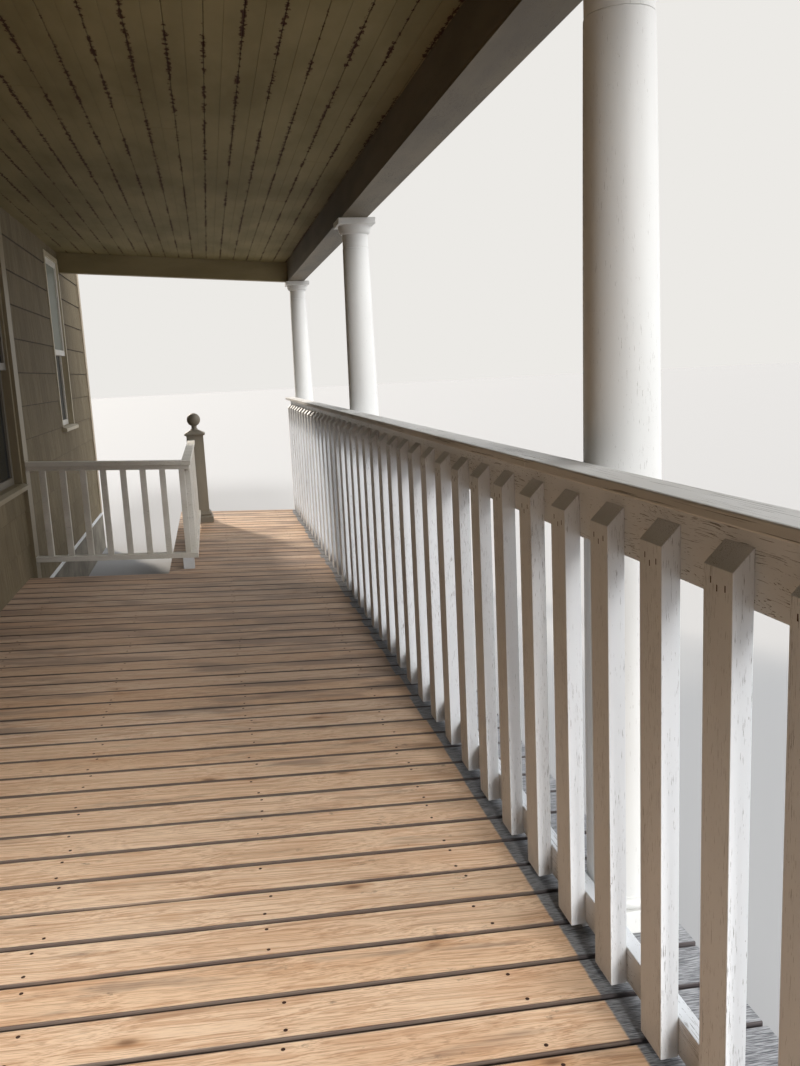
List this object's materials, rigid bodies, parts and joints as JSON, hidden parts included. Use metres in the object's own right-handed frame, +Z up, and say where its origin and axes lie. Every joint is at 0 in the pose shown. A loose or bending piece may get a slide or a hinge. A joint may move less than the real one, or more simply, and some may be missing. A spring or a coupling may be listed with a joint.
{
  "type": "front porch",
  "caption": "Wooden front porch on a house wall: board floor with a notch, round columns under a beam, bevelled balustrade, low side rail with a ball newel, boarded ceiling, lean-to roof.",
  "frame": {"origin": "on the ground under the house wall's outer face, level with the near end of the porch floor", "axes": "+X out from the house wall, +Y along the porch towards its open far end, +Z up"},
  "size_m": [2.7143, 12.85, 3.7782],
  "materials": {
    "siding_paint": "painted, combed shakes",
    "cream_paint": "old cracked paint",
    "white_trim": "painted",
    "window_glass": "clear",
    "masonry": "rough",
    "grey_timber": "weathered",
    "sanded_pine": "sanded bare boards",
    "taupe_paint": "old paint",
    "ceiling_paint": "old peeling paint",
    "roofing": "mineral felt",
    "flashing": "dull"
  },
  "bodies": {
    "root": {"wall_piers": "siding_paint", "wall_at_windows": "siding_paint", "corner_board": "siding_paint", "column_plinths": "cream_paint", "column_bases": "cream_paint", "column_shafts": "cream_paint", "column_capitals": "cream_paint", "sub_rail": "cream_paint", "bottom_rail": "cream_paint", "foot_blocks": "cream_paint", "balusters_bay_1": "cream_paint", "balusters_bay_2": "cream_paint", "balusters_bay_3": "cream_paint", "balusters_end": "cream_paint", "rim_boards": "cream_paint", "fascia": "cream_paint", "eave_soffit": "cream_paint", "side_rail_top": "cream_paint", "side_rail_bottom": "cream_paint", "notch_balusters": "cream_paint", "walkway_balusters": "cream_paint", "newel_post": "cream_paint", "newel_base": "cream_paint", "newel_cap": "cream_paint", "water_table": "white_trim", "window_frames": "white_trim", "window_sills": "white_trim", "window_sashes": "white_trim", "window_glass": "window_glass", "foundation": "masonry", "piers": "masonry", "girders": "grey_timber", "joists": "grey_timber", "rafters": "grey_timber", "roof_deck": "grey_timber", "rail_cap": "grey_timber", "deck_main": "sanded_pine", "deck_walkway": "sanded_pine", "front_beam": "taupe_paint", "beam_soffit": "ceiling_paint", "end_headers": "ceiling_paint", "end_panels": "ceiling_paint", "ceiling": "ceiling_paint", "roofing": "roofing", "flashing": "flashing"}
  },
  "joints": []
}
